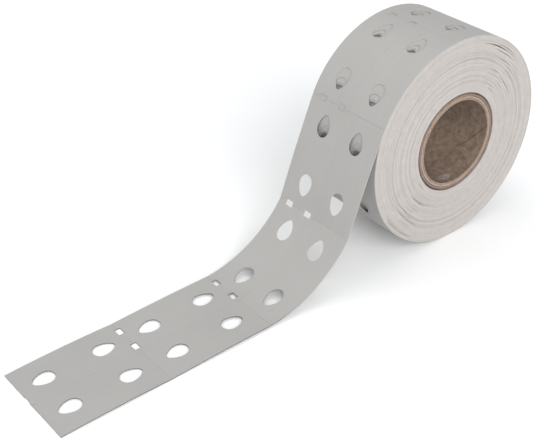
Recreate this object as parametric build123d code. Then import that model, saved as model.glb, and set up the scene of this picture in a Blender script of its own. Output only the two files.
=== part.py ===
"""Roll of two-lane punched plastic cable tags on a paper core, with a free tail of four tag rows.

The web is one long plastic strip. Fold lines cut it across into tags, and a slit cuts it along
its middle into a far lane (+Y) and a near lane (-Y). The roll stands on its rim: the bore lies
along Y with its centre at the origin, +Z is up, and the free end of the tail points to -X.
Lengths are millimetres and angles are degrees.
"""
import os
from math import cos, pi, radians, sin

from build123d import *

# Core
bore_radius = 12.7
ply_thicknesses = {"core_liner": 0.4, "core_ply_inner": 0.8, "core_ply_outer": 0.6, "core_wrap": 0.3}
start_tab_thickness = 0.1
start_tab_length = 18.0
start_tab_width = 24.0

# Web
web_width = 29.2
web_thickness = 0.2
lap_pitch = 0.22            # radial step from one loose lap to the next
loose_laps = 3              # laps under the outermost one that don't yet press on each other
roll_radius = 31.4          # outside of the outermost lap
slit_kerf = 0.2             # gap between the two lanes
fold_kerf = 0.3             # gap between two tags along a fold line

# Tags
tag_pitch = 32.25           # from one fold line to the next
lane_spacing = 13.4         # from the far lane's eyes to the near lane's
eye_from_fold = 8.0         # from a fold line to the middle of an eye's round end
eye_length = 6.5
eye_width = 4.8
eye_nose_radius = 1.1       # an eye's narrow end, which points at the nearest fold line
register_length = 1.7       # small square holes on the fold lines of the far lane
register_width = 2.6
register_places = (10.4, 2.5)
tail_rows = 4               # rows of tags in the tail
roll_rows = 6               # rows of tags in the outermost lap

# Shape of the web: its heading at each end of a tail row, free end first, and where it leaves the roll
tail_headings = {1: (0.0, 0.0), 2: (0.0, 1.9), 3: (4.2, 54.455), 4: (68.0, 65.0)}
leaving_angle = 26.9        # height of the leaving point above the roll's axis, seen from the axis

# Ties: the short uncut bridges left in each fold line and in the slit
tie_width = 0.5
tie_spacing = 2.2
tie_edge_margin = 1.4
tie_thickness = 0.16
fold_tie_past_axis = 0.06   # how far a tie reaches past the middle of a fold that bends
slit_tie_places = (0.12, 0.5, 0.88)   # along a tag, as a share of its length

core_radius = bore_radius + sum(ply_thicknesses.values())

# Small lengths that only steer the modelling
no_turn = 1e-9              # radians: a span that turns less is straight
nudge = 1e-6                # a step past a fold line, onto the next row
straight_bow = 1e-4         # a stretch of web that bows less than this is straight
cutter_reach = 2.0          # how far a hole's cutter reaches past the middle line, each way


class Span:
    """A stretch of the web's middle line: an arc or a straight, in the XZ plane."""

    def __init__(self, start, heading, turn, length):
        self.start = start
        self.heading = heading
        self.turn = turn
        self.length = length

    def at(self, distance):
        """The point and the heading at a distance along the span."""
        heading = self.heading + self.turn * distance / self.length
        dx, dz = chord(self.heading, heading, distance)
        return (self.start[0] + dx, self.start[1] + dz), heading


def chord(heading_in, heading_out, length):
    """How far an arc of this length moves along X and Z while its heading turns."""
    turn = radians(heading_out - heading_in)
    if abs(turn) < no_turn:
        return length * cos(radians(heading_in)), length * sin(radians(heading_in))
    radius = length / turn
    dx = radius * (sin(radians(heading_out)) - sin(radians(heading_in)))
    dz = radius * (cos(radians(heading_in)) - cos(radians(heading_out)))
    return dx, dz


def web_path():
    """The web's middle line from its free end to its inner end: the tail rows, then half laps."""
    middle_radius = roll_radius - web_thickness / 2
    point = (-middle_radius * cos(radians(leaving_angle)), middle_radius * sin(radians(leaving_angle)))
    tail = []
    corner = point
    for row in range(tail_rows, 0, -1):
        heading_in, heading_out = tail_headings[row]
        dx, dz = chord(heading_in, heading_out, tag_pitch)
        corner = (corner[0] - dx, corner[1] - dz)
        tail.insert(0, Span(corner, heading_in, heading_out - heading_in, tag_pitch))
    wound = []
    radius = middle_radius
    heading = 90 - leaving_angle
    innermost = core_radius + start_tab_thickness + web_thickness / 2
    while radius - lap_pitch / 2 > innermost:
        wound.append(Span(point, heading, -180, pi * radius))
        point, heading = wound[-1].at(pi * radius)
        radius -= lap_pitch / 2
    return tail + wound


PATH = web_path()


def on_web(s):
    """The point and the heading on the middle line at a distance from the free end."""
    for span in PATH:
        if s <= span.length:
            return span.at(s)
        s -= span.length
    return PATH[-1].at(PATH[-1].length)


def cut_points(s_from, s_to):
    """The distances at which a stretch of web starts, changes from one span to the next, and ends."""
    cuts = [s_from]
    edge = 0
    for span in PATH:
        edge += span.length
        if s_from + nudge < edge < s_to - nudge:
            cuts.append(edge)
    return cuts + [s_to]


def beside_web(point, heading, height, y):
    """A point at a height above the middle line, which is outward on the roll."""
    x = point[0] - height * sin(radians(heading))
    z = point[1] + height * cos(radians(heading))
    return Vector(x, y, z)


def face_edges(cuts, height, y):
    """The lines of one face of the web, one for each stretch between two cuts."""
    corners = [beside_web(*on_web(s), height, y) for s in cuts]
    edges = []
    for i, (first, last) in enumerate(zip(corners[:-1], corners[1:])):
        middle = beside_web(*on_web((cuts[i] + cuts[i + 1]) / 2), height, y)
        bow = (middle - (first + last) * 0.5).length
        edges.append(Line(first, last) if bow < straight_bow else ThreePointArc(first, middle, last))
    return edges


def web_strip(s_from, s_to, y_low, y_high):
    """A piece of web between two distances from the free end and between two Y values."""
    cuts = cut_points(s_from, s_to)
    outer = face_edges(cuts, web_thickness / 2, y_low)
    inner = face_edges(cuts, -web_thickness / 2, y_low)
    ends = [Line(outer[0] @ 0, inner[0] @ 0), Line(outer[-1] @ 1, inner[-1] @ 1)]
    profile = make_face(Wire(outer + inner + ends))
    return extrude(profile, amount=y_high - y_low, dir=(0, 1, 0))


def local_plane(s, y):
    """A plane on the web: X along the web towards the roll, and Z out of its outer face."""
    point, heading = on_web(s)
    along = (cos(radians(heading)), 0, sin(radians(heading)))
    outward = (-sin(radians(heading)), 0, cos(radians(heading)))
    return Plane(origin=(point[0], y, point[1]), x_dir=along, z_dir=outward)


def eye_outline():
    """An egg: a round end at the local origin and a narrow end on +X, joined by two long arcs."""
    round_radius = eye_width / 2
    nose_at = eye_length - round_radius - eye_nose_radius
    flank = (nose_at**2 + round_radius**2 - eye_nose_radius**2) / (2 * (round_radius - eye_nose_radius))
    centre = Vector(0, flank - round_radius)
    towards_nose = (Vector(nose_at, 0) - centre).normalized()
    lower_end = centre + towards_nose * flank
    lower_middle = centre + (towards_nose + Vector(0, -1)).normalized() * flank
    upper_end = Vector(lower_end.X, -lower_end.Y)
    upper_middle = Vector(lower_middle.X, -lower_middle.Y)
    top, bottom = Vector(0, round_radius), Vector(0, -round_radius)
    return make_face([
        ThreePointArc(top, Vector(-round_radius, 0), bottom),
        ThreePointArc(bottom, lower_middle, lower_end),
        ThreePointArc(lower_end, Vector(nose_at + eye_nose_radius, 0), upper_end),
        ThreePointArc(upper_end, upper_middle, top),
    ])


def eye_cutter(s, y, nose_towards_roll):
    """A short egg-shaped prism through the web."""
    outline = eye_outline() if nose_towards_roll else eye_outline().rotate(Axis.Z, 180)
    return local_plane(s, y) * extrude(outline, amount=cutter_reach, both=True)


def register_cutter(s, y):
    """A small block through the web, centred on a fold line."""
    return local_plane(s, y) * Box(register_length, register_width, 2 * cutter_reach)


def tag(row, lane):
    """One tag: row 1 is at the free end, and lane is +1 for the far lane or -1 for the near one."""
    s_first = (row - 1) * tag_pitch
    s_last = s_first + tag_pitch
    slit_side, rim_side = lane * slit_kerf / 2, lane * web_width / 2
    y_low, y_high = min(slit_side, rim_side), max(slit_side, rim_side)
    trim = fold_kerf / 2
    body = web_strip(s_first + trim, s_last - trim, y_low, y_high)
    eye_y = lane * lane_spacing / 2
    body -= eye_cutter(s_first + eye_from_fold, eye_y, False)
    body -= eye_cutter(s_last - eye_from_fold, eye_y, True)
    if lane > 0:
        for y in register_places:
            body -= register_cutter(s_first, y)
            body -= register_cutter(s_last, y)
    return body


def tie_rows():
    """The Y of every tie in a fold line, clear of the slit and of the register holes."""
    places = []
    count = int((web_width - 2 * tie_edge_margin) / tie_spacing) + 1
    first = -tie_spacing * (count - 1) / 2
    clear = register_width / 2 + tie_width
    for i in range(count):
        y = first + i * tie_spacing
        by_register = any(abs(y - place) < clear for place in register_places)
        if abs(y) > tie_width and not by_register:
            places.append(y)
    return places


def fold_ties(row, bends):
    """The ties between a row and the next one. In a fold that bends they grow from the next row."""
    s_fold = row * tag_pitch
    reach = -fold_tie_past_axis if bends else -fold_kerf / 2
    point, heading = on_web(s_fold + nudge)
    along = Vector(cos(radians(heading)), 0, sin(radians(heading)))
    middle = (reach + fold_kerf / 2) / 2
    ties = []
    for y in tie_rows():
        origin = Vector(point[0], y, point[1]) + along * middle
        plane = Plane(origin=origin, x_dir=along, z_dir=(-along.Z, 0, along.X))
        ties.append(plane * Box(fold_kerf / 2 - reach, tie_width, tie_thickness))
    return ties


def slit_ties(row):
    """The ties that hold the two lanes of a row together."""
    places = [(row - 1 + share) * tag_pitch for share in slit_tie_places]
    return [local_plane(s, 0) * Box(tie_width, slit_kerf, tie_thickness) for s in places]


def core_plies():
    """The wound paper plies of the core, each a plain tube glued to the next."""
    plies = {}
    radius = bore_radius
    for name, thickness in ply_thicknesses.items():
        ring = Circle(radius + thickness) - Circle(radius)
        plies[name] = Plane.XZ * extrude(ring, amount=web_width / 2, both=True)
        radius += thickness
    return plies


def start_tab():
    """The strip of tape on the core that holds the web's inner end."""
    outer = core_radius + start_tab_thickness
    ring = Plane.XZ * extrude(Circle(outer) - Circle(core_radius), amount=start_tab_width / 2, both=True)
    point, _ = PATH[-1].at(PATH[-1].length)
    reach = 2 * outer
    block = Box(reach, start_tab_width, start_tab_length)
    towards = Vector(point[0], 0, point[1]).normalized()
    block = Plane(origin=towards * (reach / 2), x_dir=towards, z_dir=(-towards.Z, 0, towards.X)) * block
    return ring & block


def lap_start(lap):
    """The distance from the free end at which a lap starts: lap 0 is the outermost one."""
    return sum(span.length for span in PATH[:tail_rows + 2 * lap])


def loose_web():
    """The laps between the outermost lap and the tight ones, as one spiral strip."""
    s_from = (tail_rows + roll_rows) * tag_pitch + fold_kerf / 2
    s_to = lap_start(1 + loose_laps) - fold_kerf / 2
    return web_strip(s_from, s_to, -web_width / 2, web_width / 2)


def lap_face(lap, height):
    """The area inside one lap's face, with the step where the next lap starts."""
    edges = face_edges(cut_points(lap_start(lap), lap_start(lap + 1)), height, -web_width / 2)
    return make_face(Wire(edges + [Line(edges[-1] @ 1, edges[0] @ 0)]))


def tight_web():
    """The laps that press on each other with no gap, down to the core, as one spiral block."""
    last_lap = (len(PATH) - tail_rows) // 2 - 1
    profile = lap_face(1 + loose_laps, web_thickness / 2) - lap_face(last_lap, -web_thickness / 2)
    return extrude(profile, amount=web_width, dir=(0, 1, 0))


def write(name, solids):
    """One STEP file for a node of one or more separate solids."""
    shape = solids[0] if len(solids) == 1 else Compound(children=list(solids))
    export_step(shape, f"parts/{name}.step")


def report():
    """The figures that the record and its joints repeat."""
    tight_outer = roll_radius - (1 + loose_laps) * lap_pitch
    tight_laps = (tight_outer - core_radius) / web_thickness
    tight_length = pi * (tight_outer**2 - core_radius**2) / web_thickness
    print(f"tight laps {tight_laps:.0f}, web length {(lap_start(1 + loose_laps) + tight_length) / 1000:.2f} m")
    second_centre = -sin(radians(leaving_angle)) * lap_pitch / 2
    print(f"roll's lowest point {second_centre - roll_radius + lap_pitch / 2:.4f}")
    print(f"tail's underside {PATH[0].start[1] - web_thickness / 2:.4f}, free end x {PATH[0].start[0]:.3f}")
    for row in range(1, tail_rows + 1):
        point, _ = on_web(row * tag_pitch + nudge)
        print(f"fold {row}|{row + 1} at x {point[0]:.4f}, z {point[1]:.4f}")


def main():
    os.makedirs("parts", exist_ok=True)
    for name, ply in core_plies().items():
        write(name, [ply])
    write("start_tab", [start_tab()])
    write("loose_laps", [loose_web()])
    write("tight_laps", [tight_web()])
    for row in range(1, tail_rows + roll_rows + 1):
        write(f"tag_{row:02d}_far", [tag(row, 1)])
        write(f"tag_{row:02d}_near", [tag(row, -1)])
    for row in range(1, tail_rows + 1):
        write(f"fold_ties_{row:02d}_{row + 1:02d}", fold_ties(row, True))
        write(f"slit_ties_{row:02d}", slit_ties(row))
    last_row = tail_rows + roll_rows
    roll_folds = [tie for row in range(tail_rows + 1, last_row + 1) for tie in fold_ties(row, False)]
    write("fold_ties_roll", roll_folds)
    write("slit_ties_roll", [tie for row in range(tail_rows + 1, last_row + 1) for tie in slit_ties(row)])
    report()


main()
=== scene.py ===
"""The looks of the roll of punched cable tags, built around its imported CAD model.

Every row of tags is a real punched shell that follows the web's path: four rows in the tail, the
rest wound on the core. The laps further in are one plain ribbon. Lengths are metres, the angles
among the sizes are degrees, and a place on the web is its distance s from the free end.
"""
import random
from bisect import bisect_right
from math import asin, ceil, cos, degrees, hypot, pi, radians, sin

import bpy
from mathutils import Matrix, Vector
from mathutils.geometry import delaunay_2d_cdt


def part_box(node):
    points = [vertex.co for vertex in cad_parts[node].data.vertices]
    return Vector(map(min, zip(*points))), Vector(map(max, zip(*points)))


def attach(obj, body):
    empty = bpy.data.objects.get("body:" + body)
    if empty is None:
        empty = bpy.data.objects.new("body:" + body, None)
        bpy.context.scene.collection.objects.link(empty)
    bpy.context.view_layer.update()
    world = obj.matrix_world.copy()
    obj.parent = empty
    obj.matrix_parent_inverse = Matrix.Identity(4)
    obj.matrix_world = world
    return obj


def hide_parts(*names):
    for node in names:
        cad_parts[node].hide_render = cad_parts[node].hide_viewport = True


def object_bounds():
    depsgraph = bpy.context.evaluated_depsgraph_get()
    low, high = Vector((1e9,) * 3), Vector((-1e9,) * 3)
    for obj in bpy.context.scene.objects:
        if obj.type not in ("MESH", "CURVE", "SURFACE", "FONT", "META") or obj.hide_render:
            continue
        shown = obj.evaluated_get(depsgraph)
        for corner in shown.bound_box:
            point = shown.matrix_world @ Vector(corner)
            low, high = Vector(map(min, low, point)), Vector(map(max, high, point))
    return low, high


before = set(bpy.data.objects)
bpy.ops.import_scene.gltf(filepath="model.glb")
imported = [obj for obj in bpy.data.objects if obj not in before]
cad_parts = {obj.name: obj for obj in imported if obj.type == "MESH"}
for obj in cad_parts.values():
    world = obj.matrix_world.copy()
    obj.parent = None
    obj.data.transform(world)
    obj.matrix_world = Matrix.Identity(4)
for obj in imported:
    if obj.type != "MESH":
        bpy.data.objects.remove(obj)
cad_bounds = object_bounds()
rng = random.Random(11)

MM = 0.001

# ---------------------------------------------------------------- sizes

# Read from the frame
half_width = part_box("core_liner")[1].y
roll_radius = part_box("tag_06_far")[1].z
core_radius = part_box("core_wrap")[1].z
floor_z = cad_bounds[0].z
liner_thickness = 0.4 * MM      # as the CAD model has it
bore_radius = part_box("core_liner")[1].z - liner_thickness

# Web and tags, as the CAD model has them
tag_pitch = 32.25 * MM
eye_y = 6.7 * MM
eye_from_fold = 8.0 * MM
eye_length = 6.5 * MM
eye_width = 4.8 * MM
eye_nose_radius = 1.1 * MM
register_length = 1.7 * MM
register_width = 2.6 * MM
register_places = (2.5 * MM, 10.4 * MM)
tail_rows = 4
flat_rows = 2                   # rows of the tail that lie on the floor
roll_rows = 6
tail_headings = {1: (0.0, 0.0), 2: (0.0, 1.9), 3: (4.2, 54.455), 4: (68.0, 65.0)}
leaving_angle = 26.9

# Finer than the CAD model
web_thickness = 0.18 * MM
lap_pitch = 0.19 * MM
slit_gap = 0.008 * MM           # half the gap between the lanes
fold_gap = 0.006 * MM           # half the gap between two rows, at the middle of the web's thickness
fold_land = 0.006 * MM          # half the height over which that gap stays so narrow
fold_groove = 0.015 * MM        # how much wider that half gap is at the faces
rim_chamfer = 0.02 * MM         # punched and slit edges are slightly rounded over
cut_trace = 0.22 * MM           # depth of what is left of a register at the free end
curl_lift = 0.3 * MM            # each flat row arches this much between its folds

# Meshes: distance between points, and segments in each of an eye's four stretches
mesh_step, eye_segments = 1.3 * MM, 9
hidden_mesh_step, hidden_eye_segments = 2 * MM, 7
weld_distance = 1e-7            # as a share of the tag's length

# Laps
lap_count = 82
punched_laps = 5                # laps under the outermost one whose eyes can be seen
lap_stations = 144
inner_pitch = lap_pitch - 0.01 * MM     # about how far the plain laps are apart
ribbon_wander = 0.03 * MM       # how far a group of laps stands out of the roll's side
ruffle = 0.12 * MM              # how far single laps stand out where the roll was pressed
ruffle_direction = -137         # where that is, seen from the near side
ruffle_spread = 17              # half width of that sector

# Painted shade on the cut edge: where a single thickness lies low on the floor, the edge is coloured dark
# in place of the contact shade beneath it
painted_shade_edge_tone = 0.1
painted_shade_fade = 0.6                 # rows after the flat ones over which it comes up to full

# Laps that stand apart: distance from the axis (mm), direction seen from the near side, half width
# of the sector, and weight in sharing out the roll's slack
gap_reach = 0.105               # how near a lap's radius (mm) comes to that distance to take the weight
standing_gaps = [(30.2, -137, 16, 30), (26.6, -140, 11, 26), (21.5, -138, 11, 24), (29.4, 58, 18, 14)]
for i in range(16):
    radius = 18 + 0.8 * i + rng.uniform(-0.25, 0.25)
    standing_gaps.append((radius, rng.gauss(-136, 3.5), rng.uniform(7, 12), rng.uniform(9, 20)))
for i in range(15):
    radius = 19.5 + 0.75 * i + rng.uniform(-0.25, 0.25)
    standing_gaps.append((radius, rng.gauss(43, 10), rng.uniform(8, 14), rng.uniform(5, 12)))


# ---------------------------------------------------------------- the web's path

def chord(heading_in, heading_out, length):
    """How far an arc of this length moves along X and Z while its heading turns."""
    turn = radians(heading_out - heading_in)
    if abs(turn) < 1e-9:
        return length * cos(radians(heading_in)), length * sin(radians(heading_in))
    radius = length / turn
    dx = radius * (sin(radians(heading_out)) - sin(radians(heading_in)))
    dz = radius * (cos(radians(heading_in)) - cos(radians(heading_out)))
    return dx, dz


def tail_starts():
    """Where each tail row starts, from the free end to the point where the web leaves the roll."""
    x = -middle_radius * cos(radians(leaving_angle))
    z = middle_radius * sin(radians(leaving_angle))
    starts = {}
    for row in range(tail_rows, 0, -1):
        dx, dz = chord(*tail_headings[row], tag_pitch)
        x, z = x - dx, z - dz
        starts[row] = (x, z)
    return starts


def slack_shares(direction):
    """How the slack of the roll is shared between its laps, in one direction from the axis."""
    shares = []
    for lap in range(punched_laps, lap_count - 1):
        radius = (middle_radius - lap * inner_pitch) / MM
        share = lap_looseness[lap]
        for gap_radius, gap_direction, spread, weight in standing_gaps:
            off = (direction - gap_direction + 180) % 360 - 180
            if abs(radius - gap_radius) < gap_reach and abs(off) < spread:
                share += weight * cos(radians(90 * off / spread)) ** 2
        shares.append(share)
    return shares


def lap_radii():
    """The radius of each lap's middle at each station of a turn, outermost lap first."""
    slack = middle_radius - innermost_radius - punched_laps * lap_pitch
    slack -= (lap_count - 1 - punched_laps) * web_thickness
    table = []
    for station in range(lap_stations):
        shares = slack_shares(180 - leaving_angle - 360 * station / lap_stations)
        scale = slack / sum(shares)
        radius = middle_radius
        column = [radius]
        for lap in range(lap_count - 1):
            if lap < punched_laps:
                radius -= lap_pitch
            else:
                radius -= web_thickness + scale * shares[lap - punched_laps]
            column.append(radius)
        table.append(column)
    return table


def wound_radius(step):
    """The web's distance from the axis, a number of stations after the tail. In the second half of
    each turn it sinks from its own lap to the next."""
    lap, station = divmod(step, lap_stations)
    turned = station / lap_stations
    sunk = (1 - cos(2 * pi * (turned - 0.5))) / 2 if turned > 0.5 else 0.0
    column = radii[station]
    return column[lap] + sunk * (column[min(lap + 1, lap_count - 1)] - column[lap])


middle_radius = roll_radius - web_thickness / 2
innermost_radius = core_radius + web_thickness
tail_length = tail_rows * tag_pitch
starts = tail_starts()
lap_looseness = [rng.uniform(0.4, 1.0) * rng.choice((1, 1, 1, 2.5)) for _ in range(lap_count)]
radii = lap_radii()
last_step = (lap_count - 1) * lap_stations + lap_stations // 2
wound = [wound_radius(step) for step in range(last_step + 1)]
step_angle = 2 * pi / lap_stations
wound_length = [0.0]
for before, after in zip(wound[:-1], wound[1:]):
    wound_length.append(wound_length[-1] + (before + after) / 2 * step_angle)


def wound_step(s):
    """How many stations, not always whole, the web has passed on the roll at s."""
    wound_s = s - tail_length
    whole = min(bisect_right(wound_length, wound_s) - 1, last_step - 1)
    return whole + (wound_s - wound_length[whole]) / (wound_length[whole + 1] - wound_length[whole])


def wound_place(step):
    """The middle of the web and its heading in radians, a number of stations after the tail."""
    whole = min(int(step), last_step - 1)
    radius = wound[whole] + (step - whole) * (wound[whole + 1] - wound[whole])
    direction = pi - radians(leaving_angle) - step * step_angle
    return (radius * cos(direction), radius * sin(direction)), direction - pi / 2


def on_web(s):
    """The middle of the web at s, and its heading in radians."""
    if s >= tail_length:
        return wound_place(wound_step(s))
    row = min(int(s / tag_pitch) + 1, tail_rows)
    heading_in, heading_out = tail_headings[row]
    along = s - (row - 1) * tag_pitch
    heading = heading_in + (heading_out - heading_in) * along / tag_pitch
    dx, dz = chord(heading_in, heading, along)
    x, z = starts[row]
    if row <= flat_rows:
        share = along / tag_pitch
        z += curl_lift * 4 * share * (1 - share)
        heading += degrees(curl_lift * 4 * (1 - 2 * share) / tag_pitch)
    return (x + dx, z + dz), radians(heading)


def turns_at(s):
    """How many turns the web has made on the roll at s."""
    return wound_step(s) / lap_stations if s > tail_length else 0.0


def lateral(s):
    """How far the wound web stands out sideways at s."""
    turns = turns_at(s)
    if turns < 1:
        return 0.0
    lap = min(int(turns), lap_count - 2)
    off = (180 - leaving_angle - 360 * turns - ruffle_direction + 180) % 360 - 180
    ruffled = max(0.0, cos(radians(min(90.0, abs(off) * 90 / ruffle_spread)))) ** 2
    return wander[lap] + (wander[lap + 1] - wander[lap]) * (turns - lap) + ruffles[lap] * ruffled


def edge_tone_and_painted_shade(s):
    """How bright the cut edge is at s. Along the flat rows the edge is painted dark, as contact shade
    where the single film lies on the floor, and comes up to full a little way into the next row. On the
    roll it differs a little at random from lap to lap, a few laps somewhat darker."""
    turns = turns_at(s)
    if turns < 1:
        # Painted shade: the edge of the flat rows is made dark in place of the contact shade on the floor
        # under it
        rise = min(max(s / tag_pitch - flat_rows, 0.0) / painted_shade_fade, 1.0)
        return painted_shade_edge_tone + (1 - painted_shade_edge_tone) * rise
    return tones[min(int(turns), lap_count - 1)]


def grouped_wander():
    """A sideways place for each lap: laps stand out or in by groups of two to four."""
    places = [0.0]
    while len(places) < lap_count + 1:
        level = rng.uniform(-1, 1) * ribbon_wander
        group = rng.choice((2, 3, 3, 4))
        places += [level + rng.uniform(-0.2, 0.2) * ribbon_wander for _ in range(group)]
    return places


wander = grouped_wander()
ruffles = [rng.uniform(-1, 1) * ruffle for _ in range(lap_count)]
tones = [rng.uniform(0.98, 1.02) * rng.choice((1, 1, 1, 0.94)) for _ in range(lap_count + 1)]


# ---------------------------------------------------------------- one tag

def egg(spare, segments):
    """Points of an eye's outline, moved out by spare. It is four arcs: the round end about the
    origin, the nose towards +X, and a flat arc on each side between them."""
    round_radius = eye_width / 2
    nose_at = eye_length - round_radius - eye_nose_radius
    flank = nose_at**2 + round_radius**2 - eye_nose_radius**2
    flank /= 2 * (round_radius - eye_nose_radius)
    flank_end = asin(nose_at / (flank - eye_nose_radius))
    end_reach, nose_reach, flank_reach = round_radius + spare, eye_nose_radius + spare, flank + spare
    points = []
    for i in range(segments):
        a = pi / 2 + pi * i / segments
        points.append((end_reach * cos(a), end_reach * sin(a)))
    for i in range(segments):
        a = flank_end * i / segments
        points.append((flank_reach * sin(a), flank - round_radius - flank_reach * cos(a)))
    for i in range(segments):
        a = flank_end + (pi - 2 * flank_end) * i / segments - pi / 2
        points.append((nose_at + nose_reach * cos(a), nose_reach * sin(a)))
    for i in range(segments):
        a = flank_end * (1 - i / segments)
        points.append((flank_reach * sin(a), round_radius - flank + flank_reach * cos(a)))
    return points


def tag_corners(has_registers, at_cut_end, at_face):
    """Corners of a tag's outline: along the web, and out from the slit. The outline at the web's
    faces is a little smaller than at the middle of its thickness, because its edges are rounded.
    At the web's cut end only a trace of one register is left."""
    chamfer = rim_chamfer if at_face else 0.0
    groove = fold_groove if at_face else 0.0
    low, high = fold_gap + groove, tag_pitch - fold_gap - groove
    inner, outer = slit_gap + chamfer, half_width - chamfer
    reach, spread = register_length / 2 + chamfer, register_width / 2 + chamfer
    corners = [(low, inner), (high, inner)]
    notches = register_places if has_registers else ()
    for y in notches:
        corners += [(high, y - spread), (tag_pitch - reach, y - spread)]
        corners += [(tag_pitch - reach, y + spread), (high, y + spread)]
    corners += [(high, outer), (low, outer)]
    start_reach = cut_trace + chamfer if at_cut_end else reach
    start_notches = notches[:1] if at_cut_end else reversed(notches)
    for y in start_notches:
        corners += [(low, y + spread), (start_reach, y + spread)]
        corners += [(start_reach, y - spread), (low, y - spread)]
    return corners


def divided(corners, counts):
    """The outline with each side cut into a number of equal steps."""
    points = []
    for i, count in enumerate(counts):
        (x0, y0), (x1, y1) = corners[i], corners[(i + 1) % len(corners)]
        points += [(x0 + (x1 - x0) * k / count, y0 + (y1 - y0) * k / count) for k in range(count)]
    return points


def tag_loops(has_registers, at_cut_end, at_face, step, segments):
    """The outline of a tag and of its two eyes, each a closed loop of points."""
    plain = tag_corners(has_registers, at_cut_end, False)
    counts = []
    for i, (x0, y0) in enumerate(plain):
        x1, y1 = plain[(i + 1) % len(plain)]
        counts.append(max(1, ceil(hypot(x1 - x0, y1 - y0) / step)))
    loops = [divided(tag_corners(has_registers, at_cut_end, at_face), counts)]
    eye = egg(rim_chamfer if at_face else 0.0, segments)
    loops.append([(eye_from_fold - x, eye_y - y) for x, y in eye])
    loops.append([(tag_pitch - eye_from_fold + x, eye_y + y) for x, y in eye])
    return loops


def inside(point, loop):
    """Whether a point lies inside a closed loop."""
    x, y = point
    odd = False
    for (x0, y0), (x1, y1) in zip(loop, loop[1:] + loop[:1]):
        if (y0 > y) != (y1 > y) and x < x0 + (y - y0) * (x1 - x0) / (y1 - y0):
            odd = not odd
    return odd


class TagPattern:
    """A flat tag, ready to be laid on the web: points of its face, triangles, and edge loops."""

    def __init__(self, has_registers, step, segments, at_cut_end=False):
        face_loops = tag_loops(has_registers, at_cut_end, True, step, segments)
        self.rim_loops = tag_loops(has_registers, at_cut_end, False, step, segments)
        points = [p for loop in face_loops for p in loop]
        self.loop_starts = [0, len(face_loops[0]), len(face_loops[0]) + len(face_loops[1])]
        self.loop_sizes = [len(loop) for loop in face_loops]
        edges = []
        for first, size in zip(self.loop_starts, self.loop_sizes):
            edges += [(first + i, first + (i + 1) % size) for i in range(size)]
        outline = list(points)
        columns, rows = round(tag_pitch / step), round(half_width / step)
        for i in range(1, columns):
            for j in range(1, rows):
                x, y = tag_pitch * i / columns, half_width * j / rows
                if min(hypot(x - edge_x, y - edge_y) for edge_x, edge_y in outline) > step / 2:
                    points.append((x, y))
        scale = 1 / tag_pitch
        flat = [Vector((x * scale, y * scale)) for x, y in points]
        _, _, triangles, origins, _, _ = delaunay_2d_cdt(flat, edges, [], 0, weld_distance)
        source = [min(o) if o else None for o in origins]
        self.points = points
        self.triangles = []
        for triangle in triangles:
            corners = [source[i] for i in triangle]
            if None in corners:
                continue
            (ax, ay), (bx, by), (cx, cy) = (points[c] for c in corners)
            middle = ((ax + bx + cx) / 3, (ay + by + cy) / 3)
            in_eye = any(inside(middle, loop) for loop in face_loops[1:])
            if inside(middle, face_loops[0]) and not in_eye:
                if (bx - ax) * (cy - ay) - (by - ay) * (cx - ax) < 0:
                    corners.reverse()
                self.triangles.append(tuple(corners))


class Shell:
    """Collects the vertices of a mesh, with their place on the web and the web's normal there, and
    its faces, with their kind."""

    def __init__(self):
        self.vertices = []
        self.web_places = []
        self.normals = []
        self.faces = []
        self.kinds = []

    def place(self, s, y, height):
        """Adds a vertex at a height above the web's middle, and returns its number."""
        (x, z), heading = on_web(s)
        out_x, out_z = -sin(heading), cos(heading)
        self.vertices.append((x + height * out_x, y + lateral(s), z + height * out_z))
        self.normals.append((out_x, 0.0, out_z))
        self.web_places.append((s, y))
        return len(self.vertices) - 1

    def face(self, corners, kind):
        """Adds a face of a kind: OUTER, INNER, RIM or SEAM."""
        self.faces.append(tuple(corners))
        self.kinds.append(kind)


# Kinds of face: the web's two faces, its cut edges, and the walls between tags that touch
OUTER, INNER, RIM, SEAM = "outer", "inner", "rim", "seam"


def add_tag(shell, row, lane, pattern):
    """Lays one tag on the web. Row 1 is at the free end, and lane is +1 (far) or -1 (near)."""
    first_s = (row - 1) * tag_pitch
    half = web_thickness / 2
    flip = lane < 0
    outer = [shell.place(first_s + x, lane * y, half) for x, y in pattern.points]
    inner = [shell.place(first_s + x, lane * y, -half) for x, y in pattern.points]
    for triangle in pattern.triangles:
        around = triangle[::-1] if flip else triangle
        shell.face([outer[i] for i in around], OUTER)
        shell.face([inner[i] for i in reversed(around)], INNER)
    for first, loop in zip(pattern.loop_starts, pattern.rim_loops):
        is_hole = first > 0
        at_fold = [min(x, tag_pitch - x) < 2 * fold_gap for x, y in loop]
        at_seam = [not is_hole and (y < 2 * slit_gap or fold) for (x, y), fold in zip(loop, at_fold)]
        at_free_end = [row == 1 and x < 2 * fold_gap for x, y in loop]
        upper, lower = [], []
        for (x, y), fold in zip(loop, at_fold):
            height = fold_land if fold else half - rim_chamfer
            upper.append(shell.place(first_s + x, lane * y, height))
            lower.append(shell.place(first_s + x, lane * y, -height))
        for i in range(len(loop)):
            j = (i + 1) % len(loop)
            top, bottom = outer[first + i], inner[first + i]
            next_top, next_bottom = outer[first + j], inner[first + j]
            bands = [(top, next_top, upper[j], upper[i]), (upper[i], upper[j], lower[j], lower[i]),
                     (lower[i], lower[j], next_bottom, bottom)]
            kind = SEAM if at_seam[i] and at_seam[j] and not at_free_end[i] else RIM
            for band in bands:
                shell.face(band if flip != is_hole else band[::-1], kind)


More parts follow.
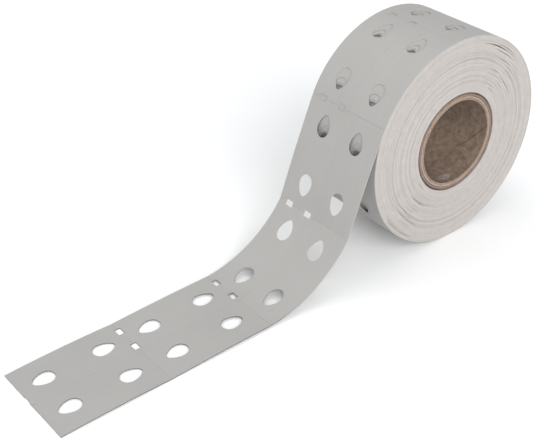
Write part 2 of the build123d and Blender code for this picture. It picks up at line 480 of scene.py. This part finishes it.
def add_ribbon(shell, first_step, final_step):
    """The plain laps: one long strip with a rectangular section."""
    half = web_thickness / 2
    section = [(half, -half_width), (half, half_width), (-half, half_width), (-half, -half_width)]
    rings = []
    for step in range(first_step, final_step + 1):
        s = tail_length + wound_length[step]
        rings.append([shell.place(s, y, height) for height, y in section])
    kinds = [OUTER, RIM, INNER, RIM]
    for ring, following in zip(rings[:-1], rings[1:]):
        for i, kind in enumerate(kinds):
            j = (i + 1) % len(section)
            shell.face((following[i], following[j], ring[j], ring[i]), kind)
    shell.face(rings[0], RIM)
    shell.face(rings[-1][::-1], RIM)


def built(shell, name, materials, slot, body, *nodes):
    """Makes the object of a shell. Its faces are smooth, its edges are crisp, and it carries the
    place on the web and the cut edge's brightness for the materials, painted shade along the flat rows
    included."""
    mesh = bpy.data.meshes.new(name)
    mesh.from_pydata(shell.vertices, [], shell.faces)
    for material in materials:
        mesh.materials.append(material)
    places = mesh.uv_layers.new(name="web")
    # Brightness of the cut edge per point: random differences from lap to lap on the roll, and painted
    # contact shade along the flat rows
    tone_and_shade = mesh.attributes.new("tone_and_shade", "FLOAT", "POINT")
    tone_and_shade.data.foreach_set("value", [edge_tone_and_painted_shade(s) for s, _ in shell.web_places])
    corner_normals = []
    for polygon, kind in zip(mesh.polygons, shell.kinds):
        polygon.use_smooth = True
        polygon.material_index = 1 if kind == RIM else 0
        for loop, vertex in zip(polygon.loop_indices, polygon.vertices):
            places.data[loop].uv = shell.web_places[vertex]
            normal = polygon.normal.copy()
            if kind in (OUTER, INNER):
                normal = Vector(shell.normals[vertex]) * (1 if kind == OUTER else -1)
            corner_normals.append(normal)
    mesh.normals_split_custom_set(corner_normals)
    piece = bpy.data.objects.new(name, mesh)
    bpy.context.scene.collection.objects.link(piece)
    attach(piece, body)
    if nodes:
        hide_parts(*nodes)
    return piece


# ---------------------------------------------------------------- materials

class Material:
    """A node material with a few short ways to add nodes."""

    def __init__(self, name):
        self.material = bpy.data.materials.new(name)
        self.material.use_nodes = True
        self.tree = self.material.node_tree
        self.shader = self.tree.nodes["Principled BSDF"]

    def add(self, kind, settings=None, **inputs):
        """A node, with its properties from settings and its sockets from values or other sockets."""
        node = self.tree.nodes.new(kind)
        for key, value in (settings or {}).items():
            setattr(node, key, value)
        for key, value in inputs.items():
            self.feed(node.inputs[key.replace("_", " ")], value)
        return node

    def feed(self, socket, value):
        """Links another socket to this one, or sets its value."""
        if isinstance(value, bpy.types.NodeSocket):
            self.tree.links.new(value, socket)
        else:
            socket.default_value = value

    def scaled(self, vector, x, y, z):
        """A vector with each part multiplied by its own factor."""
        node = self.add("ShaderNodeVectorMath", {"operation": "MULTIPLY"})
        self.feed(node.inputs[0], vector)
        node.inputs[1].default_value = (x, y, z)
        return node.outputs[0]

    def noise(self, vector, scale, detail=3.0, roughness=0.5):
        """Noise with a number of cells per unit of the vector."""
        node = self.add("ShaderNodeTexNoise", Vector=vector, Scale=scale, Detail=detail,
                        Roughness=roughness)
        return node.outputs["Fac"]

    def ranged(self, value, low, high, from_low=0.3, from_high=0.7):
        """A value carried over from one range to another. Most noise lies from 0.3 to 0.7."""
        node = self.add("ShaderNodeMapRange")
        self.feed(node.inputs["Value"], value)
        ends = {"From Min": from_low, "From Max": from_high, "To Min": low, "To Max": high}
        for key, number in ends.items():
            node.inputs[key].default_value = number
        return node.outputs["Result"]

    def mixed(self, share, first, second, blend="MIX"):
        """Two colours mixed: all first at share 0, all second at share 1."""
        node = self.add("ShaderNodeMix", {"data_type": "RGBA", "blend_type": blend})
        self.feed(node.inputs[0], share)
        self.feed(node.inputs[6], first)
        self.feed(node.inputs[7], second)
        return node.outputs[2]

    def bump(self, height, distance, strength, normal=None):
        """A bumpy normal, on top of another one if that is given."""
        node = self.add("ShaderNodeBump", Height=height, Distance=distance, Strength=strength)
        if normal is not None:
            self.feed(node.inputs["Normal"], normal)
        return node.outputs["Normal"]


def web_face():
    """The print side of the film: satin, nearly even, with faint streaks along the web."""
    m = Material("web_face")
    place = m.add("ShaderNodeUVMap", {"uv_map": "web"}).outputs[0]
    solid = m.add("ShaderNodeTexCoord").outputs["Object"]
    cloud = m.noise(solid, 60, 3)
    streak = m.noise(m.scaled(place, 25, 900, 1), 1, 3)
    grain = m.noise(solid, 5200, 2)
    colour = m.mixed(m.ranged(cloud, 0, 1), (0.340, 0.332, 0.321, 1), (0.358, 0.350, 0.338, 1))
    colour = m.mixed(m.ranged(streak, 0, 0.35), colour, (0.324, 0.317, 0.306, 1))
    m.feed(m.shader.inputs["Base Color"], colour)
    m.feed(m.shader.inputs["Roughness"], m.ranged(grain, 0.44, 0.58))
    m.shader.inputs["Specular IOR Level"].default_value = 0.35
    normal = m.bump(grain, 0.006 * MM, 0.5)
    m.feed(m.shader.inputs["Normal"], m.bump(streak, 0.01 * MM, 0.25, normal))
    return m.material


def web_edge():
    """The cut edge of the film: matt and lighter than its print side, laps a little different in
    brightness, and painted dark along the flat rows as contact shade.
    """
    m = Material("web_edge")
    solid = m.add("ShaderNodeTexCoord").outputs["Object"]
    tone_and_shade = m.add("ShaderNodeAttribute", {"attribute_name": "tone_and_shade"}).outputs["Fac"]
    scuff = m.noise(solid, 420, 4, 0.6)
    fine = m.noise(solid, 4000, 2)
    # The edge brightness attribute scales the colour: random per lap, and painted shade along the flat
    # rows
    grey = m.add("ShaderNodeCombineColor", Red=tone_and_shade, Green=tone_and_shade, Blue=tone_and_shade).outputs[0]
    colour = m.mixed(m.ranged(scuff, 0, 1), (0.370, 0.345, 0.325, 1), (0.405, 0.378, 0.357, 1))
    colour = m.mixed(1.0, colour, grey, "MULTIPLY")
    m.feed(m.shader.inputs["Base Color"], colour)
    m.shader.inputs["Roughness"].default_value = 0.7
    m.shader.inputs["Specular IOR Level"].default_value = 0.25
    m.feed(m.shader.inputs["Normal"], m.bump(fine, 0.02 * MM, 0.4))
    return m.material


def paper(name, dark, light, fibre_scale, roughness, scuff=None):
    """Core board or paper: two browns, short dark fibres and light flecks. A scuff is the place and
    the reach of a grey patch where the surface is rubbed."""
    m = Material(name)
    solid = m.add("ShaderNodeTexCoord").outputs["Object"]
    cloud = m.noise(solid, fibre_scale * 0.3, 4)
    fibre = m.noise(m.scaled(solid, 1, 0.35, 1), fibre_scale, 4, 0.65)
    fleck = m.noise(solid, fibre_scale * 2.2, 2)
    fibre_colour = tuple(0.55 * c for c in dark[:3]) + (1,)
    fleck_colour = tuple(1.5 * c for c in light[:3]) + (1,)
    colour = m.mixed(m.ranged(cloud, 0, 1), dark, light)
    colour = m.mixed(m.ranged(fibre, 0, 0.45), colour, fibre_colour)
    colour = m.mixed(m.ranged(fleck, 0, 0.4, 0.66, 0.74), colour, fleck_colour)
    if scuff:
        place, reach = scuff
        off = m.add("ShaderNodeVectorMath", {"operation": "SUBTRACT"})
        m.feed(off.inputs[0], solid)
        off.inputs[1].default_value = place
        distance = m.add("ShaderNodeVectorMath", {"operation": "LENGTH"})
        m.feed(distance.inputs[0], m.scaled(off.outputs[0], *(1 / size for size in reach)))
        patch = m.ranged(distance.outputs["Value"], 0.75, 0, 0.5, 1.0)
        ragged = m.ranged(m.noise(solid, 1500, 3), 0, 1, 0.4, 0.55)
        share = m.add("ShaderNodeMath", {"operation": "MULTIPLY"})
        m.feed(share.inputs[0], patch)
        m.feed(share.inputs[1], ragged)
        colour = m.mixed(share.outputs[0], colour, (0.36, 0.36, 0.37, 1))
    m.feed(m.shader.inputs["Base Color"], colour)
    m.shader.inputs["Roughness"].default_value = roughness
    m.shader.inputs["Specular IOR Level"].default_value = 0.2
    m.feed(m.shader.inputs["Normal"], m.bump(fibre, 0.04 * MM, 0.6))
    return m.material


def adhesive_tape():
    """Cream paper tape with a fine crepe."""
    m = Material("adhesive_tape")
    solid = m.add("ShaderNodeTexCoord").outputs["Object"]
    crepe = m.noise(m.scaled(solid, 1, 0.2, 1), 2500, 3)
    colour = m.mixed(m.ranged(crepe, 0, 1), (0.62, 0.56, 0.42, 1), (0.74, 0.69, 0.55, 1))
    m.feed(m.shader.inputs["Base Color"], colour)
    m.shader.inputs["Roughness"].default_value = 0.8
    m.feed(m.shader.inputs["Normal"], m.bump(crepe, 0.03 * MM, 0.6))
    return m.material


def studio_floor():
    """White seamless paper."""
    m = Material("studio_floor")
    solid = m.add("ShaderNodeTexCoord").outputs["Object"]
    cloud = m.noise(solid, 3, 2)
    colour = m.mixed(m.ranged(cloud, 0, 1), (0.865, 0.87, 0.875, 1), (0.88, 0.88, 0.88, 1))
    m.feed(m.shader.inputs["Base Color"], colour)
    m.shader.inputs["Roughness"].default_value = 0.9
    m.shader.inputs["Specular IOR Level"].default_value = 0.0
    return m.material


# ---------------------------------------------------------------- core

def ply_tube(name, inner, outer, seam_start, lead, ragged, materials):
    """One wound ply of the core: a strip that turns round the axis, with a slanting butt seam. Its
    two materials are for its surfaces and for its ends, which are cut a little raggedly."""
    turn_stations, length_stations = 150, 10
    seam_gap = 0.3 * MM
    bevel = 0.07 * MM
    vertices, faces = [], []
    end_noise = [[rng.uniform(-1, 1) * ragged for _ in range(turn_stations + 1)] for _ in range(2)]

    def tube(radius):
        """The vertices at one radius: rows round the axis, from the near end to the far end."""
        gap = seam_gap / radius
        rows = []
        for j in range(length_stations + 1):
            row = []
            for i in range(turn_stations + 1):
                y = -half_width + 2 * half_width * j / length_stations
                if j == 0:
                    y += bevel + end_noise[0][i]
                if j == length_stations:
                    y -= bevel + end_noise[1][i]
                angle = radians(seam_start) - 2 * pi * (y + half_width) / lead
                angle += gap / 2 + (2 * pi - gap) * i / turn_stations
                vertices.append((radius * cos(angle), y, radius * sin(angle)))
                row.append(len(vertices) - 1)
            rows.append(row)
        return rows

    inside_rows, outside_rows = tube(inner), tube(outer)
    for j in range(length_stations):
        for i in range(turn_stations):
            low, high = inside_rows[j], inside_rows[j + 1]
            faces.append((low[i], low[i + 1], high[i + 1], high[i]))
            low, high = outside_rows[j], outside_rows[j + 1]
            faces.append((low[i], high[i], high[i + 1], low[i + 1]))
    for i in range(turn_stations):
        bore_side, wrap_side = inside_rows[0], outside_rows[0]
        faces.append((wrap_side[i], wrap_side[i + 1], bore_side[i + 1], bore_side[i]))
        bore_side, wrap_side = inside_rows[-1], outside_rows[-1]
        faces.append((wrap_side[i + 1], wrap_side[i], bore_side[i], bore_side[i + 1]))
    for j in range(length_stations):
        low_inside, high_inside = inside_rows[j], inside_rows[j + 1]
        low_outside, high_outside = outside_rows[j], outside_rows[j + 1]
        faces.append((high_inside[0], high_outside[0], low_outside[0], low_inside[0]))
        faces.append((low_inside[-1], low_outside[-1], high_outside[-1], high_inside[-1]))
    mesh = bpy.data.meshes.new(name)
    mesh.from_pydata(vertices, [], faces)
    for material in materials:
        mesh.materials.append(material)
    for polygon in mesh.polygons:
        polygon.material_index = 1 if abs(polygon.normal.y) > 0.5 else 0
    mesh.shade_smooth()
    mesh.set_sharp_from_angle(angle=radians(35))
    piece = bpy.data.objects.new(name, mesh)
    bpy.context.scene.collection.objects.link(piece)
    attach(piece, "roll")
    return piece


# ---------------------------------------------------------------- putting it together

face_material, edge_material = web_face(), web_edge()
web_materials = [face_material, edge_material]
scuff = (Vector((-1.0, -11.7, -12.7)) * MM, Vector((3.8, 1.6, 2.0)) * MM)
liner_paper = paper("liner_paper", (0.17, 0.122, 0.09, 1), (0.30, 0.222, 0.172, 1), 1900, 0.7, scuff)
board = paper("core_board", (0.23, 0.16, 0.125, 1), (0.30, 0.215, 0.17, 1), 1400, 0.9)
wrap_paper = paper("core_wrap_paper", (0.155, 0.115, 0.094, 1), (0.20, 0.15, 0.122, 1), 1200, 0.85)
cut_paper = paper("cut_paper", (0.27, 0.205, 0.162, 1), (0.34, 0.265, 0.215, 1), 1400, 0.9)
cut_board = paper("outer_core_board", (0.20, 0.14, 0.112, 1), (0.26, 0.185, 0.15, 1), 1400, 0.9)
tape_material = adhesive_tape()

# The tags that CAD has, one piece each
lane_names = {1: "far", -1: "near"}
patterns = {lane: TagPattern(lane == 1, mesh_step, eye_segments) for lane in lane_names}
cut_end_pattern = TagPattern(True, mesh_step, eye_segments, at_cut_end=True)
for row in range(1, tail_rows + roll_rows + 1):
    body = f"tail_row_{row}" if row <= tail_rows else "roll"
    for lane, lane_name in lane_names.items():
        shell = Shell()
        add_tag(shell, row, lane, cut_end_pattern if (row, lane) == (1, 1) else patterns[lane])
        built(shell, f"punched_tag_{row:02d}_{lane_name}", web_materials, "web_plastic", body,
              f"tag_{row:02d}_{lane_name}")

# The punched laps under them, in coarser tags
hidden_patterns = {lane: TagPattern(lane == 1, hidden_mesh_step, hidden_eye_segments)
                   for lane in lane_names}
plain_start = (1 + punched_laps) * lap_stations
first_hidden_row = tail_rows + roll_rows + 1
last_hidden_row = int((tail_length + wound_length[plain_start]) / tag_pitch)
shell = Shell()
for row in range(first_hidden_row, last_hidden_row + 1):
    for lane in lane_names:
        add_tag(shell, row, lane, hidden_patterns[lane])
built(shell, "punched_laps", web_materials, "web_plastic", "roll", "loose_laps")

# The plain laps, from the last punched row to the core
shell = Shell()
ribbon_first = bisect_right(wound_length, last_hidden_row * tag_pitch - tail_length)
add_ribbon(shell, ribbon_first, last_step)
built(shell, "wound_laps", web_materials, "web_plastic", "roll", "tight_laps")

# The core's plies, from the bore outwards: the direction where the seam starts, the length over
# which it goes round once, and how ragged the ends are
plies = [
    ("core_liner", (liner_paper, cut_paper), "liner_paper", 3.5, 65 * MM, 0.02 * MM),
    ("core_ply_inner", (board, cut_paper), "core_board", 150.0, 80 * MM, 0.04 * MM),
    ("core_ply_outer", (board, cut_board), "core_board", 260.0, 80 * MM, 0.04 * MM),
    ("core_wrap", (wrap_paper, wrap_paper), "core_board", 60.0, 92 * MM, 0.03 * MM),
]
ply_gap = 0.13 * MM
inner = bore_radius
for node, materials, slot, seam_start, lead, ragged in plies:
    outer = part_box(node)[1].z
    piece = ply_tube(f"wound_{node}", inner, outer - ply_gap, seam_start, lead, ragged, materials)
    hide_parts(node)
    inner = outer

# The nodes that stay as CAD has them, with a material of this scene
for name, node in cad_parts.items():
    if "ties" in name:
        node.data.materials.clear()
        node.data.materials.append(face_material)
    if name == "start_tab":
        node.data.materials.clear()
        node.data.materials.append(tape_material)

# ---------------------------------------------------------------- floor, light, camera

floor_reach = 3.0
floor_drop = 0.1 * MM           # keeps the floor out of the plane of the film's underside
sides = [(-1, -1), (1, -1), (1, 1), (-1, 1)]
floor_corners = [(x * floor_reach, y * floor_reach, floor_z - floor_drop) for x, y in sides]
floor_mesh = bpy.data.meshes.new("studio_floor")
floor_mesh.from_pydata(floor_corners, [], [(0, 1, 2, 3)])
floor_mesh.materials.append(studio_floor())
floor = bpy.data.objects.new("studio_floor", floor_mesh)
bpy.context.scene.collection.objects.link(floor)

world = bpy.data.worlds.new("studio")
bpy.context.scene.world = world
world.use_nodes = True
background = world.node_tree.nodes["Background"]
background.inputs["Color"].default_value = (0.97, 0.985, 1.0, 1)
background.inputs["Strength"].default_value = 0.7


def softbox(name, place, target, size, power, colour=(1, 1, 1)):
    """A square area light that points at a place."""
    light = bpy.data.lights.new(name, "AREA")
    light.size = size
    light.energy = power
    light.color = colour
    lamp = bpy.data.objects.new(name, light)
    lamp.location = place
    lamp.rotation_euler = (Vector(target) - Vector(place)).to_track_quat("-Z", "Y").to_euler()
    bpy.context.scene.collection.objects.link(lamp)


softbox("overhead", place=(-0.15, 0.3, 0.9), target=(-0.04, 0, 0), size=0.8, power=2.5,
        colour=(1, 0.99, 0.97))
softbox("fill", place=(-0.65, -1.8, 0.95), target=(-0.02, 0, 0), size=1.8, power=52.0)

# The camera looks along -back, and is rolled a little about that line
camera_data = bpy.data.cameras.new("camera")
camera_data.lens = 77.33
camera_data.clip_start = 0.01
camera = bpy.data.objects.new("camera", camera_data)
bpy.context.scene.collection.objects.link(camera)
azimuth, elevation, camera_roll = radians(-36.98), radians(33.90), radians(-2.26)
back = Vector((sin(azimuth) * cos(elevation), -cos(azimuth) * cos(elevation), sin(elevation)))
level_right = Vector((cos(azimuth), sin(azimuth), 0))
level_up = back.cross(level_right)
right = cos(camera_roll) * level_right + sin(camera_roll) * level_up
up = cos(camera_roll) * level_up - sin(camera_roll) * level_right
camera_place = Vector((-212.58, -206.75, 163.74)) * MM
camera_turn = Matrix((right, up, back)).transposed().to_4x4()
camera.matrix_world = Matrix.Translation(camera_place) @ camera_turn
bpy.context.scene.camera = camera
bpy.context.scene.view_settings.view_transform = "Standard"
